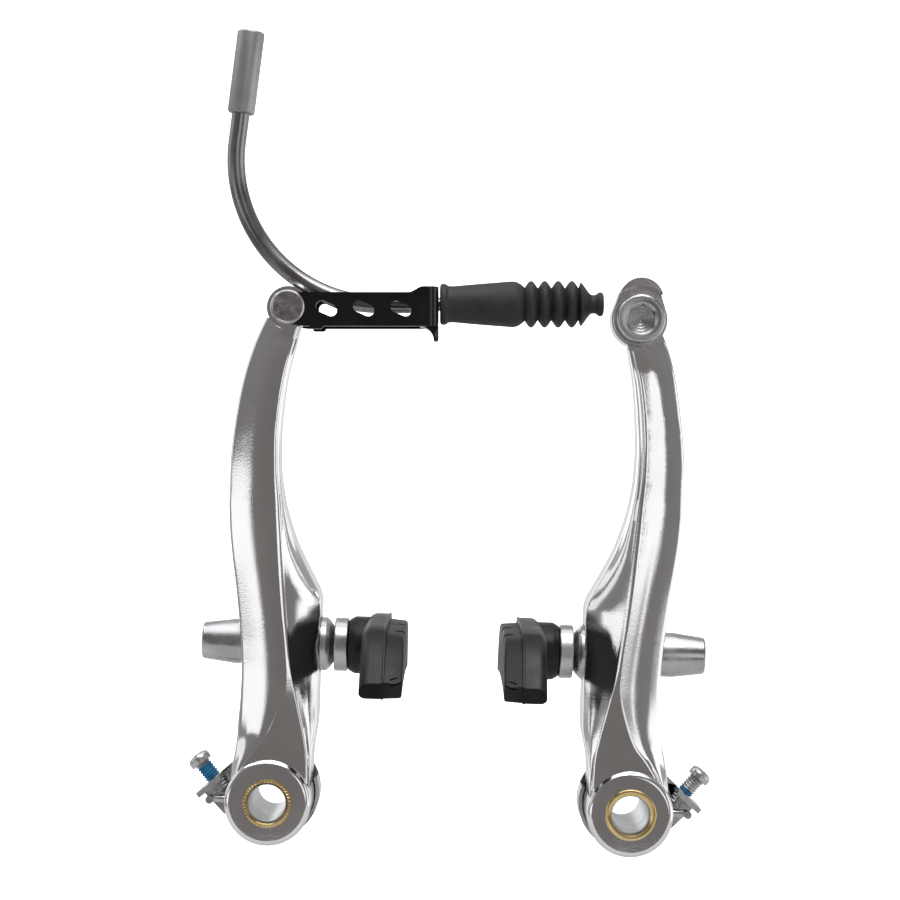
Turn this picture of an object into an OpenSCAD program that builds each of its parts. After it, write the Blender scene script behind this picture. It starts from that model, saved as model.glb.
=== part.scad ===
// Linear-pull rim brake, both arms as fitted to a pair of frame bosses.
// X runs across the wheel, the bosses point along -Y and the wheel's rim passes along Y. Z is up.
// The origin is midway between the two bosses, in the plane of their shoulders.

/* [Bosses] */
// Distance between the two frame bosses
boss_gap = 80; // [76:1:96]
// Radius of the sleeve's bore, which runs on a boss 8 mm across
bore_r = 4.05; // [3.95:0.05:4.1]
// Length of the pivot sleeve
sleeve_len = 24; // [23:0.5:29]
// Wall of the pivot sleeve
sleeve_wall = 0.65; // [0.55:0.05:0.8]
// Wall of the brass bush
bush_wall = 0.65; // [0.5:0.05:0.9]

/* [Arms] */
// Height of the cable axis above the bosses
arm_len = 109.3; // [100:0.5:115]
// Radius of the round boss at the foot of an arm
foot_r = 9.5; // [9:0.1:10]
// Thickness of the left arm's eye, between the link's cheeks
eye_t = 9; // [8:0.5:10]
// Radius of the left arm's eye
eye_r = 4.4; // [4.2:0.1:4.4]
// How far inboard of the pivots the cable axis sits
eye_x = 1; // [0:0.5:3]
// Radius of the right arm's anchor boss
anchor_boss_r = 6.2; // [6:0.1:6.6]

/* [Link and noodle] */
// Length from the link's rivet to the outer face of its end wall
link_len = 33.2; // [31:0.5:38]
// Thickness of the link's sheet
link_t = 1.2; // [1:0.1:1.5]
// Upward tilt of the link
link_tilt = 1.84; // [0:0.1:6]
// Radius of the noodle's tube
noodle_r = 2; // [1.8:0.1:2.1]
// Bend radius of the noodle, along its middle
bend_r = 32.2; // [32:0.5:40]
// Angle that the noodle turns through
bend_angle = 97.3; // [90:1:135]
// Length of the ferrule
ferrule_len = 18.4; // [16:0.2:24]
// Radius of the ferrule's socket for 5 mm cable housing
housing_r = 2.55; // [2.5:0.05:2.6]
// Length of the rubber boot
boot_len = 36.5; // [33:0.1:37.5]

/* [Pads] */
// Clear gap between the two pads
pad_gap = 21.6; // [18:0.2:26]
// Length of a pad along the rim
pad_len = 61; // [50:1:72]
// Height of a pad's backing
pad_h = 13.8; // [12:0.2:15]
// Height of the pad's post above the bosses
post_z = 34.3; // [32:0.5:36]
// Radius of the pad's post
post_r = 3; // [2.5:0.1:3.2]
// Radius of the post's washers
washer_r = 6; // [5.6:0.1:6]
// Radius of the wheel at the middle of the braking band
band_r = 300; // [200:5:310]

/* [Springs] */
// Radius of the spring's wire
wire_r = 0.9; // [0.7:0.05:0.95]
// Mean radius of the spring's coil
coil_r = 6.6; // [6.5:0.05:6.8]
// Radius of the spring cup
cup_r = 10.5; // [10.3:0.1:11]

/* [Hidden] */
$fn = 64;

e = 0.01;                                  // overshoot of a cut
fit = 0.03;                                // running clearance
press = 0.02;                              // clearance of two pieces that are pressed together
sleeve_r = bore_r + sleeve_wall;
bush_in = sleeve_r + fit;
bush_r = bush_in + bush_wall;
foot_front = sleeve_len;                   // depths are measured forwards from the bosses' shoulders
foot_back = 9.2;
lip_t = 0.6;                               // brass lip in front of the sleeve
lip_gap = 0.1;
lip_r = bore_r + 0.3;
flange_r = 6;                              // sleeve's rear flange
flange_t = 1.6;
eye_mid = 17;                              // depth of the cable's plane
eye_front = eye_mid + eye_t / 2;
cheek_gap = 0.15;                          // between the eye and each cheek
face_x = (boss_gap - pad_gap) / 2;         // braking face, inboard of its own pivot

// ---- spring cup, its ear and the tension screw ----
cup_front = 8.8;
cup_t = 1.2;
cup_back = flange_t + 0.05;
cup_wall = 0.8;
ear_corner = [-17.3, -0.7];
lip_angle = 40;
lip_len = 6.6;
lip_top = 10.6;
screw_depth = 6.8;
screw_shift = 1.5;                         // hole's distance from the lip's middle, towards the arm
screw_r = 1.9;
screw_pitch = 0.7;
screw_head_r = 2.6;
screw_head_t = 2.3;
screw_out = 4.5;                           // length of thread in front of the lip
screw_in = 3.3;                            // length of thread behind the lip's middle
lip_mid = ear_corner + [cos(lip_angle), sin(lip_angle)] * lip_len / 2;
screw_at = lip_mid + [cos(lip_angle), sin(lip_angle)] * screw_shift;

// ---- arm blank: each edge is a list of [height, position] ----
// heights are written for an arm 109.3 long and stretch with it above the pad's slot
stretch_from = 50;
blank_len = 109.3;
outer_edge = [[0, -8.6], [6, -8.5], [11, -7.8], [15, -7.0], [21, -6.3], [28, -6.1], [34, -6.4], [41, -7.1],
    [48, -8.0], [54, -8.9], [61, -9.7], [67, -10.0], [74, -10.0], [80, -9.7], [87, -8.9], [94, -7.8],
    [100, -6.5], [104, -5.5], [106.6, -2.3], [109.3, -2.2]];
ridge = [[0, -7.6], [6, -6.4], [11, -3.6], [15, -0.5], [21, 1.9], [25, 2.9], [28, 3.2], [34, 2.8], [41, 1.9],
    [48, 1.1], [61, 0], [67, -0.4], [74, -0.9], [80, -1.0], [87, -0.6], [94, 0.3], [100, 1.7], [104, 2.8], [109.3, 4.1]];
second_ridge = [[0, 8.2], [6, 8.4], [11, 8.2], [15, 7.5], [21, 6.1], [28, 4.6], [34, 3.7], [41, 2.8], [48, 2.1],
    [61, 1], [67, 0.5], [74, -0.2], [80, -0.4], [87, 0], [94, 0.9], [100, 2.2], [104, 3.2], [109.3, 4.4]];
inner_edge = [[0, 8.8], [6, 9.1], [11, 9.3], [18, 10], [44.5, 10], [48, 8.6], [51, 7], [54, 5.5], [57, 4.1], [61, 2.7],
    [67, 1.1], [74, 0.1], [80, -0.1], [87, 0.3], [94, 1.1], [100, 2.4], [104, 3.4], [109.3, 4.6]];
front_depth = [[0, 22.8], [11, 22.8], [28, 23.2], [48, 23.2], [67, 23], [80, 22.8], [100, 22.6], [109.3, 22.6]];
inner_depth = [[0, 21.8], [11, 20.4], [21, 18.4], [28, 17.4], [48, 17.4], [54, 17.9], [61, 18.9], [74, 20], [109.3, 19.9]];
back_depth = [[0, 9.4], [6, 8.4], [15, 6.4], [21, 6], [48, 6], [54, 7.2], [61, 9.2], [67, 10.6], [80, 11.8], [94, 12.9], [109.3, 13]];
web_x = [[0, -6], [11, -3], [18, 1.6], [22, 2.6], [46, 2.6], [54, 1.2], [61, -1.5], [67, -3.4], [80, -5], [109.3, -1]];
bar_depth = [[0, 9.8], [11, 11], [18, 16], [22, 18], [46, 18], [54, 16.2], [61, 13.6], [67, 12.2], [80, 12.6], [94, 13.3], [109.3, 13.4]];
heights = [0, 6, 11, 15, 18, 21, 25, 28, 34, 41, 46, 48, 51, 54, 57, 61, 67, 74, 80, 87, 94, 100, 104, 106.6];
bevel = 1.2;                               // how far the outer edge lies behind the ridge
facet = 0.35;                              // how far the second ridge lies behind the ridge

function stretched(z) = z <= stretch_from ? z
    : stretch_from + (z - stretch_from) * (arm_len - stretch_from) / (blank_len - stretch_from);
function section(z) = let (f = lookup(z, front_depth), xo = lookup(z, outer_edge), b = lookup(z, back_depth),
    xi = lookup(z, inner_edge), xw = lookup(z, web_x), g = lookup(z, bar_depth))
    [[xo, -f + bevel], [lookup(z, ridge), -f], [lookup(z, second_ridge), -f + facet], [xi, -lookup(z, inner_depth)],
     [xi, -b], [xw, -b], [xw, -g], [xo + 0.2, -g]];

// a skin over rings that all have the same number of points
module skin(rings) {
    n = len(rings[0]);
    m = len(rings);
    sides = [for (i = [0:m - 2], j = [0:n - 1]) let (k = (j + 1) % n)
        each [[i * n + j, (i + 1) * n + j, i * n + k], [i * n + k, (i + 1) * n + j, (i + 1) * n + k]]];
    polyhedron([for (r = rings) each r],
        concat(sides, [[for (j = [0:n - 1]) j]], [[for (j = [n - 1:-1:0]) (m - 1) * n + j]]), convexity = 6);
}

// a round wire along a path
function unit(v) = v / norm(v);
function heading(p, i) = unit(p[min(i + 1, len(p) - 1)] - p[max(i - 1, 0)]);
function ring_at(c, t, r, sides) = let (a = unit(cross(t, abs(t[1]) < 0.9 ? [0, 1, 0] : [1, 0, 0])), b = cross(t, a))
    [for (k = [0:sides - 1]) c + r * (cos(k * 360 / sides) * a + sin(k * 360 / sides) * b)];
module wire(path, r, sides = 8) {
    skin([for (i = [0:len(path) - 1]) ring_at(path[i], heading(path, i), r, sides)]);
}

// places a piece on its own boss: side -1 is the left one, drawn with +X inboard, and +1 its mirror image
module on_boss(side) {
    translate([side * boss_gap / 2, 0, 0]) mirror([side > 0 ? 1 : 0, 0, 0]) children();
}

// a cylinder along the bosses, between two depths
module along(r, from, to) {
    translate([0, -from, 0]) rotate([90, 0, 0]) cylinder(r = r, h = to - from);
}

// a turned shape along the bosses: the profile is [radius, depth]
module turned(profile) {
    rotate([90, 0, 0]) rotate_extrude() polygon(profile);
}

// a cylinder across the wheel, between two places
module across(r, from, to) {
    translate([from, 0, 0]) rotate([0, 90, 0]) cylinder(r = r, h = to - from);
}

// a turned shape across the wheel: the profile is [radius, place]
module turned_across(profile) {
    rotate([0, 90, 0]) rotate_extrude() polygon(profile);
}

// ---- pieces that the frame's bosses hold ----
module pivot_sleeve() {
    color("lightgray") difference() {
        union() {
            along(sleeve_r, 0, sleeve_len - lip_t - lip_gap + 0.3);
            along(flange_r, 0, flange_t);
        }
        along(bore_r, -e, sleeve_len + e);
    }
}

module pie(from, to, r) {
    polygon(concat([[0, 0]], [for (a = [from:(to - from) / 8:to + e]) r * [cos(a), sin(a)]]));
}

module spring_cup() {
    pin_at = [8.2, 0];
    color("silver") {
        difference() {
            union() {
                along(cup_r, cup_back, cup_front);
                translate([0, -cup_back, 0]) rotate([90, 0, 0]) linear_extrude(cup_t)
                    polygon([[-6.5, 8.2], [-8.9, 6.6], [-12.2, 3.58], ear_corner, [-11.6, -6.4], [-7.4, -7.4], [0, 0]]);
                translate([ear_corner[0], -cup_back, ear_corner[1]]) rotate([0, -lip_angle, 0])
                    translate([0, -lip_top + cup_back, -cup_t]) cube([lip_len, lip_top - cup_back, cup_t]);
                translate([pin_at[0], 0, pin_at[1]]) along(1.25, -4, cup_back + e);
            }
            along(cup_r - cup_wall, cup_back + cup_t, cup_front + e);
            along(sleeve_r + 0.1, cup_back - e, cup_back + cup_t + e);
            // windows in the rim for the two ends of the spring
            translate([0, -cup_back - cup_t, 0]) rotate([90, 0, 0]) linear_extrude(cup_front) {
                pie(20, 78, 12);
                pie(166, 214, 12);
            }
            translate([screw_at[0], -screw_depth, screw_at[1]]) rotate([0, 90 - lip_angle, 0])
                rotate([0, 90, 0]) translate([0, 0, -4]) cylinder(r = screw_r + 0.12, h = 8);
        }
    }
}

module return_spring() {
    lean_x = catch_x + catch_r + wire_r + 0.3;
    leg_y = -4.75;
    rise = 1.9 / 360;
    coil = [for (a = [0:-20:-500]) [coil_r * cos(a), leg_y + a * rise, coil_r * sin(a)]];
    leg = [[lean_x, leg_y, catch_z + 1.5], [lean_x, leg_y, catch_z - 2], [coil_r, leg_y, 4], [coil_r, leg_y, 1.5]];
    end_y = coil[len(coil) - 1][1];
    tail = [[-6.3, end_y, -3.1], [-7.4, end_y, -2.4], [-9.2, end_y, -2.15], [-13.2, end_y, -2.1],
        [-14.0, end_y - 0.3, -2.1], [-14.3, end_y - 1.1, -2.1], [-14.3, end_y - 2.6, -2.1]];
    color("darkgray") wire(concat(leg, coil, tail), wire_r);
}

module tension_screw() {
    teeth = floor((screw_out + screw_in) / screw_pitch);
    thread = [for (i = [0:teeth - 1]) each [[screw_r - 0.4, i * screw_pitch], [screw_r, (i + 0.5) * screw_pitch]]];
    len_t = teeth * screw_pitch;
    color("silver") translate([screw_at[0], -screw_depth, screw_at[1]]) rotate([0, 90 - lip_angle, 0]) rotate([0, 90, 0])
        translate([0, 0, -screw_out]) difference() {
            rotate_extrude() polygon(concat(
                [[0, -screw_head_t], [screw_head_r - 0.5, -screw_head_t], [screw_head_r, -screw_head_t + 0.5], [screw_head_r, 0]],
                thread, [[screw_r - 0.4, len_t], [0, len_t]]));
            for (a = [0, 90]) rotate([0, 0, a]) translate([-1.7, -0.35, -screw_head_t - e]) cube([3.4, 0.7, 1.1]);
        }
}

// ---- arms ----
catch_x = 3.8;
catch_z = 47;
catch_r = 1.3;
slot_half = 3.2;                           // half the travel of the pad in its slot
post_y = -11.5;
post_clear = 0.25;
shoulder_r = 6.6;                          // round shoulder below the eye
spot_r = 7.3;                              // spot face under the anchor bolt
spot_depth = 18.4;
lobe_rise = 4.9;
lobe_r = 4.9;
anchor_t_r = 2.5;                          // core of the anchor bolt's thread

module arm_blank() {
    skin([for (z = heights) [for (p = section(z)) [p[0] + (z > stretch_from ? (eye_x - 1) * (z - stretch_from)
        / (blank_len - stretch_from) : 0), p[1], stretched(z)]]]);
}

module foot() {
    turned([[0, foot_back], [foot_r, foot_back], [foot_r, foot_front - 1.3], [foot_r - 0.4, foot_front - 0.4],
        [foot_r - 1.3, foot_front], [0, foot_front]]);
}

module pad_slot() {
    translate([0, post_y, 0]) {
        for (s = [-1, 1]) translate([0, 0, post_z + s * slot_half]) across(post_r + post_clear, -2, 14);
        translate([-2, -post_r - post_clear, post_z - slot_half]) cube([16, 2 * (post_r + post_clear), 2 * slot_half]);
    }
}

module arm_cuts() {
    along(bush_r + press, foot_back - 4, foot_front + 2);
    along(cup_r + 0.4, 0, foot_back);
    pad_slot();
    translate([catch_x, 0, catch_z]) along(catch_r + press, 4, 14);
}

module left_arm() {
    step = 0.02;                           // the eye stands this much proud of the shoulders around it
    color("silver") on_boss(-1) difference() {
        union() {
            difference() {
                arm_blank();
                translate([eye_x, 0, arm_len]) along(shoulder_r, eye_front - step, 30);
            }
            foot();
            translate([eye_x, 0, arm_len]) along(eye_r, eye_mid - eye_t / 2, eye_front);
        }
        arm_cuts();
        translate([eye_x, 0, arm_len]) along(rivet_r + fit, 4, 30);
    }
}

module right_arm() {
    color("silver") on_boss(1) difference() {
        union() {
            arm_blank();
            foot();
            translate([eye_x, 0, arm_len]) {
                along(anchor_boss_r, 11.5, 22);
                translate([0, 0, lobe_rise]) along(lobe_r, 12.5, 22);
                translate([0, -12.5, 0]) rotate([90, 0, 0]) linear_extrude(9.5)
                    polygon([[-anchor_boss_r * 0.97, anchor_boss_r * 0.24], [-lobe_r * 0.97, lobe_rise + lobe_r * 0.24],
                        [lobe_r * 0.97, lobe_rise + lobe_r * 0.24], [anchor_boss_r * 0.97, anchor_boss_r * 0.24]]);
            }
        }
        arm_cuts();
        translate([eye_x, 0, arm_len]) {
            along(spot_r, spot_depth, 30);
            along(anchor_t_r + 0.6, 4, 30);
        }
    }
}

module pivot_bush() {
    color("goldenrod") turned([[bush_in, foot_back + 0.2], [bush_r, foot_back + 0.2], [bush_r, sleeve_len],
        [bush_r - 0.25, sleeve_len + lip_gap + 0.4], [lip_r + 0.25, sleeve_len + lip_gap + 0.4],
        [lip_r, sleeve_len + lip_gap + 0.1], [lip_r, sleeve_len - lip_t + 0.3 + lip_gap],
        [bush_in, sleeve_len - lip_t + 0.3 + lip_gap]]);
}

module spring_catch() {
    color("lightgray") translate([catch_x, 0, catch_z]) {
        along(catch_r, 3.2, 13.9);
        along(2.1, 2.3, 3.2);
    }
}

// ---- link, noodle and boot: drawn with the rivet at the origin and the link along +X ----
rivet_r = 2.5;
rivet_head_r = 3.8;
rivet_head_t = 1.4;
link_top = 3.3;
link_bottom = -4.2;
cheek_in = eye_t / 2 + cheek_gap;
tip_r = 1.5;                               // thin end of the noodle, through the link's end wall
collar_r = 2.9;
bend_x = 20.2;                             // where the bend starts
liner_r = 1.15;

noodle_z = 1;                              // height of the noodle's straight part above the rivet

module at_noodle() {
    at_rivet() translate([0, 0, noodle_z]) children();
}

module at_rivet() {
    translate([-boss_gap / 2 + eye_x, -eye_mid, arm_len]) rotate([0, -link_tilt, 0]) children();
}

module link_rivet() {
    color("gray") at_rivet() rotate([90, 0, 0]) {
        rotate_extrude() polygon([[0, -cheek_in - link_t - 0.9], [rivet_r + 0.8, -cheek_in - link_t - 0.9],
            [rivet_r + 1.0, -cheek_in - link_t], [rivet_r, -cheek_in - link_t], [rivet_r, cheek_in + link_t + 0.05],
            [rivet_head_r, cheek_in + link_t + 0.05], [rivet_head_r, cheek_in + link_t + rivet_head_t - 0.3],
            [rivet_head_r - 0.35, cheek_in + link_t + rivet_head_t], [0, cheek_in + link_t + rivet_head_t]]);
    }
}

module cheek() {
    translate([0, -cheek_in, 0]) rotate([90, 0, 0]) linear_extrude(link_t) difference() {
        union() {
            intersection() {
                circle(r = -link_bottom);
                translate([-6, link_bottom]) square([7, link_top - link_bottom]);
            }
            translate([0, link_bottom]) square([link_len - link_t / 2, link_top - link_bottom]);
            translate([link_len - 4.6, link_bottom]) square([4, link_top - link_bottom + 1.2]);
            translate([link_len - 6.2, link_top - e]) polygon([[0, 0], [1.7, 1.2 + e], [1.7, 0]]);
        }
        circle(r = rivet_r + fit);
        for (i = [0:2]) translate([8.2 * (i + 1) + 0.3, -0.3]) rotate([0, 0, -24]) {
            for (s = [-1, 1]) translate([s * 0.9, 0]) circle(r = 1.25);
            translate([-0.9, -1.25]) square([1.8, 2.5]);
        }
    }
}

module cable_link() {
    wall_w = 2 * (cheek_in + link_t);
    color([0.12, 0.12, 0.13]) at_rivet() difference() {
        union() {
            cheek();
            mirror([0, 1, 0]) cheek();
            translate([link_len - link_t, -wall_w / 2, link_bottom]) cube([link_t, wall_w, link_top - link_bottom + 1.2]);
            // strap under the cheeks, near the rivet
            translate([5.4, -wall_w / 2, link_bottom - 0.6]) cube([4.2, wall_w, 1.2]);
            // finger hook under the end wall
            translate([link_len - link_t, 3, link_bottom + e]) rotate([90, 0, 0]) linear_extrude(6) difference() {
                translate([-2.4, -3.2]) square([3.6, 3.2]);
                translate([-3, -3.2 + 0.6]) circle(r = 3);
                translate([-2.4, -3.3]) square([1.1, 0.9]);
            }
        }
        translate([link_len - link_t - 1, 0, noodle_z]) rotate([0, 90, 0]) cylinder(r = tip_r + 0.3, h = link_t + 2);
        translate([link_len - link_t - 1, -tip_r - 0.3, noodle_z]) cube([link_t + 2, 2 * tip_r + 0.6, 6]);
    }
}

// rings of the noodle: the straight part at a place x, and the bend at an angle with a run past it
sides = 24;
function straight_ring(x, r) = [for (k = [0:sides - 1]) let (q = k * 360 / sides) [x, r * sin(q), r * cos(q)]];
function bend_ring(a, r, past = 0) = [for (k = [0:sides - 1]) let (q = k * 360 / sides, d = bend_r - r * cos(q))
    [bend_x - d * sin(a) - past * cos(a), r * sin(q), bend_r - d * cos(a) + past * sin(a)]];
function tube_rings(r, tip, tail) = concat([straight_ring(tip, r)],
    [for (k = [0:18]) bend_ring(k * bend_angle / 18, r)], [bend_ring(bend_angle, r, tail)]);

tail_len = 6.3;                            // straight tube below the ferrule
socket_len = 13;
ferrule_r = 3.05;

collar_at = link_len - link_t - 3.4;
tip_end = link_len + 8.8;

module noodle_tube() {
    seat = link_len - link_t - 0.1;
    color([0.42, 0.41, 0.4]) at_noodle() difference() {
        skin(concat([straight_ring(tip_end, tip_r), straight_ring(seat, tip_r), straight_ring(seat - e, collar_r),
            straight_ring(collar_at + 0.9, collar_r)], tube_rings(noodle_r, collar_at, tail_len + ferrule_len - socket_len - 0.6)));
        skin(tube_rings(liner_r, tip_end + 1, tail_len + ferrule_len));
    }
}

module noodle_liner() {
    color("white") at_noodle() difference() {
        skin(tube_rings(liner_r - press, tip_end + 0.6, tail_len + ferrule_len - socket_len - 0.8));
        skin(tube_rings(liner_r - 0.3, tip_end + 2, tail_len + ferrule_len));
    }
}

module noodle_ferrule() {
    color("lightgray") at_noodle() translate([bend_x, 0, bend_r]) rotate([0, bend_angle, 0]) translate([0, 0, -bend_r])
        rotate([0, -90, 0]) translate([0, 0, tail_len]) rotate_extrude() polygon([
            [noodle_r + press, 0], [ferrule_r - 0.4, 0], [ferrule_r, 0.4], [ferrule_r, ferrule_len - 0.3],
            [ferrule_r - 0.2, ferrule_len], [housing_r, ferrule_len], [housing_r, ferrule_len - socket_len],
            [noodle_r + press, ferrule_len - socket_len]]);
}

// boot: radii along its length, each [place, radius]
boot_x = link_len + 0.3;
sleeve_part = 18.8;
fold_pitch = 3.03;
bellows_from = sleeve_part;
bellows_len = 4 * fold_pitch;

module boot_sleeve() {
    color([0.2, 0.2, 0.2]) at_noodle() translate([boot_x, 0, 0]) turned_across([
        [tip_r + press, 0], [4.1, 0], [4.5, 0.4], [4.5, 1.1], [4.05, 1.7], [4.05, 3], [5.1, 15.6], [5.15, 16.6],
        [4.7, 17.8], [3.8, sleeve_part - e], [2.6, sleeve_part - e], [2.6, 12], [tip_r + press, 8]]);
}

module boot_bellows() {
    outer = [for (i = [0:3]) let (a = i * fold_pitch) each [[3.55, a], [4.8, a + 0.75], [5.1, a + fold_pitch / 2],
        [4.8, a + fold_pitch - 0.75]]];
    color([0.2, 0.2, 0.2]) at_noodle() translate([boot_x + bellows_from + e, 0, 0]) turned_across(concat(outer,
        [[4.2, bellows_len - e], [2.6, bellows_len - e], [2.6, 0]]));
}

module boot_tip() {
    from = bellows_from + bellows_len + e;
    color([0.2, 0.2, 0.2]) at_noodle() translate([boot_x, 0, 0]) turned_across([
        [2.6, from], [4.3, from], [2.1, from + 2.1], [2.05, from + 3.3], [2.65, from + 4.3], [2.7, from + 4.9],
        [2.3, boot_len], [1, boot_len], [1, from + 2]]);
}

// ---- cable anchor ----
head_r = 5.65;
head_t = 3.4;
washer_t = 2;
clamp_at = spot_depth + 0.02;

module at_anchor() {
    translate([boss_gap / 2 - eye_x, 0, arm_len]) children();
}

module cable_clamp_washer() {
    color("lightgray") at_anchor() difference() {
        along(head_r + 0.3, clamp_at, clamp_at + washer_t);
        along(3.15, clamp_at - 1, clamp_at + 5);
        // groove for the cable, above the bolt
        translate([0, -clamp_at, 3.9]) across(0.8, -9, 9);
    }
}

module cable_anchor_bolt() {
    from = clamp_at + washer_t + 0.02;
    color("lightgray") at_anchor() difference() {
        turned([[0, 9.4], [2.4, 9.4], [2.95, 9.9], [2.95, from], [head_r, from], [head_r, from + head_t - 1],
            [head_r - 0.7, from + head_t - 0.2], [head_r - 1.3, from + head_t], [3.4, from + head_t - 0.35], [0, from + head_t - 0.35]]);
        translate([0, -from - head_t + 2.6, 0]) rotate([90, 0, 0]) cylinder(r = 3.3, h = 4, $fn = 6);
    }
}

// ---- pads and their clamps: drawn with the post along X ----
flange_out = 2.6;                          // outboard face of the arm's slotted wall
flange_in = 10;
dome_t = 3.1;
dish_t = 3;
gap_t = 0.05;

module at_post(side) {
    on_boss(side) translate([0, post_y, post_z]) children();
}

function dome(at, dir) = [[post_r + 0.2, at], [washer_r, at], [washer_r, at + dir * 1.3], [washer_r - 0.7, at + dir * 2.1],
    [washer_r - 2.1, at + dir * dome_t], [post_r + 0.2, at + dir * dome_t]];
function dish(at, dir) = [[post_r + 0.2, at + dir * 0.9], [washer_r - 1.9, at + dir * 0.9], [washer_r - 0.6, at],
    [washer_r - 0.2, at], [washer_r, at + dir * 0.2], [washer_r, at + dir * (dish_t - 0.2)],
    [washer_r - 0.2, at + dir * dish_t], [post_r + 0.2, at + dir * dish_t]];

inner_dome = flange_in + gap_t;
inner_dish = inner_dome + dome_t + gap_t;
pad_back = inner_dish + dish_t + gap_t;
outer_dome = flange_out - gap_t;
outer_dish = outer_dome - dome_t - gap_t;
nut_at = outer_dish - dish_t - gap_t;
nut_len = 12.9;
nut_r = 5;

module inner_washers(side) {
    color("silver") at_post(side) {
        turned_across(dome(inner_dome, 1));
        turned_across(dish(inner_dish, 1));
    }
}

module outer_washers(side) {
    color("silver") at_post(side) {
        turned_across(dome(outer_dome, -1));
        turned_across(dish(outer_dish, -1));
    }
}

module pad_nut(side) {
    color("silver") at_post(side) difference() {
        turned_across([[0, nut_at - nut_len], [nut_r - 1.15, nut_at - nut_len], [nut_r - 0.9, nut_at - nut_len + 0.3],
            [nut_r, nut_at - nut_len * 0.45], [nut_r, nut_at - 0.3], [nut_r - 0.3, nut_at], [0, nut_at]]);
        across(post_r + 0.1, nut_at - 7, nut_at + 1);
        translate([nut_at - nut_len - 1, 0, 0]) rotate([0, 90, 0]) cylinder(r = 2.9, h = 4.6, $fn = 6);
    }
}

module pad_post(side) {
    color("gray") at_post(side) {
        across(post_r, nut_at - 6.6, pad_back + 5.4);
        across(washer_r - 1, pad_back + 3.4, pad_back + 5.4);
    }
}

// side view of a pad, [along the rim, height], from the post; both edges follow the wheel
function sag(y) = band_r - sqrt(band_r * band_r - y * y);
half_len = pad_len / 2;
function pad_outline(top, bottom, short) = concat(
    [for (s = [-6:6]) let (y = s * (half_len - 10.5) / 6) [y, top - sag(y)]],
    [[half_len - 6.4, top - 2.6 - sag(half_len)], [half_len - 3.4, top - 6 - sag(half_len)],
     [half_len - 1.2 - short, -1.9 - sag(half_len)], [half_len - short, -3 - sag(half_len)],
     [half_len - short, bottom + 0.8 - sag(half_len)], [half_len - 0.8 - short, bottom - sag(half_len)]],
    [for (s = [6:-1:-6]) let (y = s * (half_len - 3 - short) / 6) [y, bottom - sag(y)]],
    [[-half_len + 0.8 + short, bottom - sag(half_len)], [-half_len + short, bottom + 0.8 - sag(half_len)],
     [-half_len + short, -3 - sag(half_len)], [-half_len + 1.2 + short, -1.9 - sag(half_len)],
     [-half_len + 3.4, top - 6 - sag(half_len)], [-half_len + 6.4, top - 2.6 - sag(half_len)]]);

block_t = 5;                               // thickness of the braking block
back_from = pad_back + 2.2;                // where the backing's slab starts
block_from = face_x - block_t;

module slab(outline, from, to) {
    translate([from, 0, 0]) rotate([90, 0, 90]) linear_extrude(to - from) polygon(outline);
}

module pad_backing(side) {
    color([0.13, 0.13, 0.13]) at_post(side) difference() {
        union() {
            slab(pad_outline(pad_h / 2, -pad_h / 2, 0), back_from + 1.6, block_from - 0.02);
            slab(pad_outline(pad_h / 2 - 1.4, -pad_h / 2 + 1.4, 3), back_from, back_from + 1.7);
            across(washer_r, pad_back, back_from + 1);
        }
        across(post_r + 0.02, pad_back - 1, pad_back + 5.4);
        across(washer_r - 1 + 0.02, pad_back + 3.4 - 0.02, pad_back + 5.42);
    }
}

module pad_block(side) {
    color([0.2, 0.2, 0.2]) at_post(side) difference() {
        slab(pad_outline(pad_h / 2 - 1.3, -pad_h / 2, 0.6), block_from, face_x);
        for (y = [-14, 0, 14]) translate([face_x - 2, y - 0.9, -12]) cube([3, 1.8, 24]);
    }
}

on_boss(-1) pivot_sleeve();  // left_pivot_sleeve
on_boss(1) pivot_sleeve();  // right_pivot_sleeve
on_boss(-1) spring_cup();  // left_spring_cup
on_boss(1) spring_cup();  // right_spring_cup
on_boss(-1) return_spring();  // left_return_spring
on_boss(1) return_spring();  // right_return_spring
on_boss(-1) tension_screw();  // left_tension_screw
on_boss(1) tension_screw();  // right_tension_screw
left_arm();
right_arm();
on_boss(-1) pivot_bush();  // left_pivot_bush
on_boss(1) pivot_bush();  // right_pivot_bush
on_boss(-1) spring_catch();  // left_spring_catch
on_boss(1) spring_catch();  // right_spring_catch
link_rivet();
cable_link();
noodle_tube();
noodle_ferrule();
noodle_liner();
boot_sleeve();
boot_bellows();
boot_tip();
cable_clamp_washer();
cable_anchor_bolt();
pad_nut(-1);  // left_pad_nut
pad_nut(1);  // right_pad_nut
outer_washers(-1);  // left_outer_washers
outer_washers(1);  // right_outer_washers
inner_washers(-1);  // left_inner_washers
inner_washers(1);  // right_inner_washers
pad_post(-1);  // left_pad_post
pad_post(1);  // right_pad_post
pad_backing(-1);  // left_pad_backing
pad_backing(1);  // right_pad_backing
pad_block(-1);  // left_pad_block
pad_block(1);  // right_pad_block
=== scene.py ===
from math import sin, cos, radians, pi, sqrt
import bpy
import bmesh
from mathutils import Vector, Matrix


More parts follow.
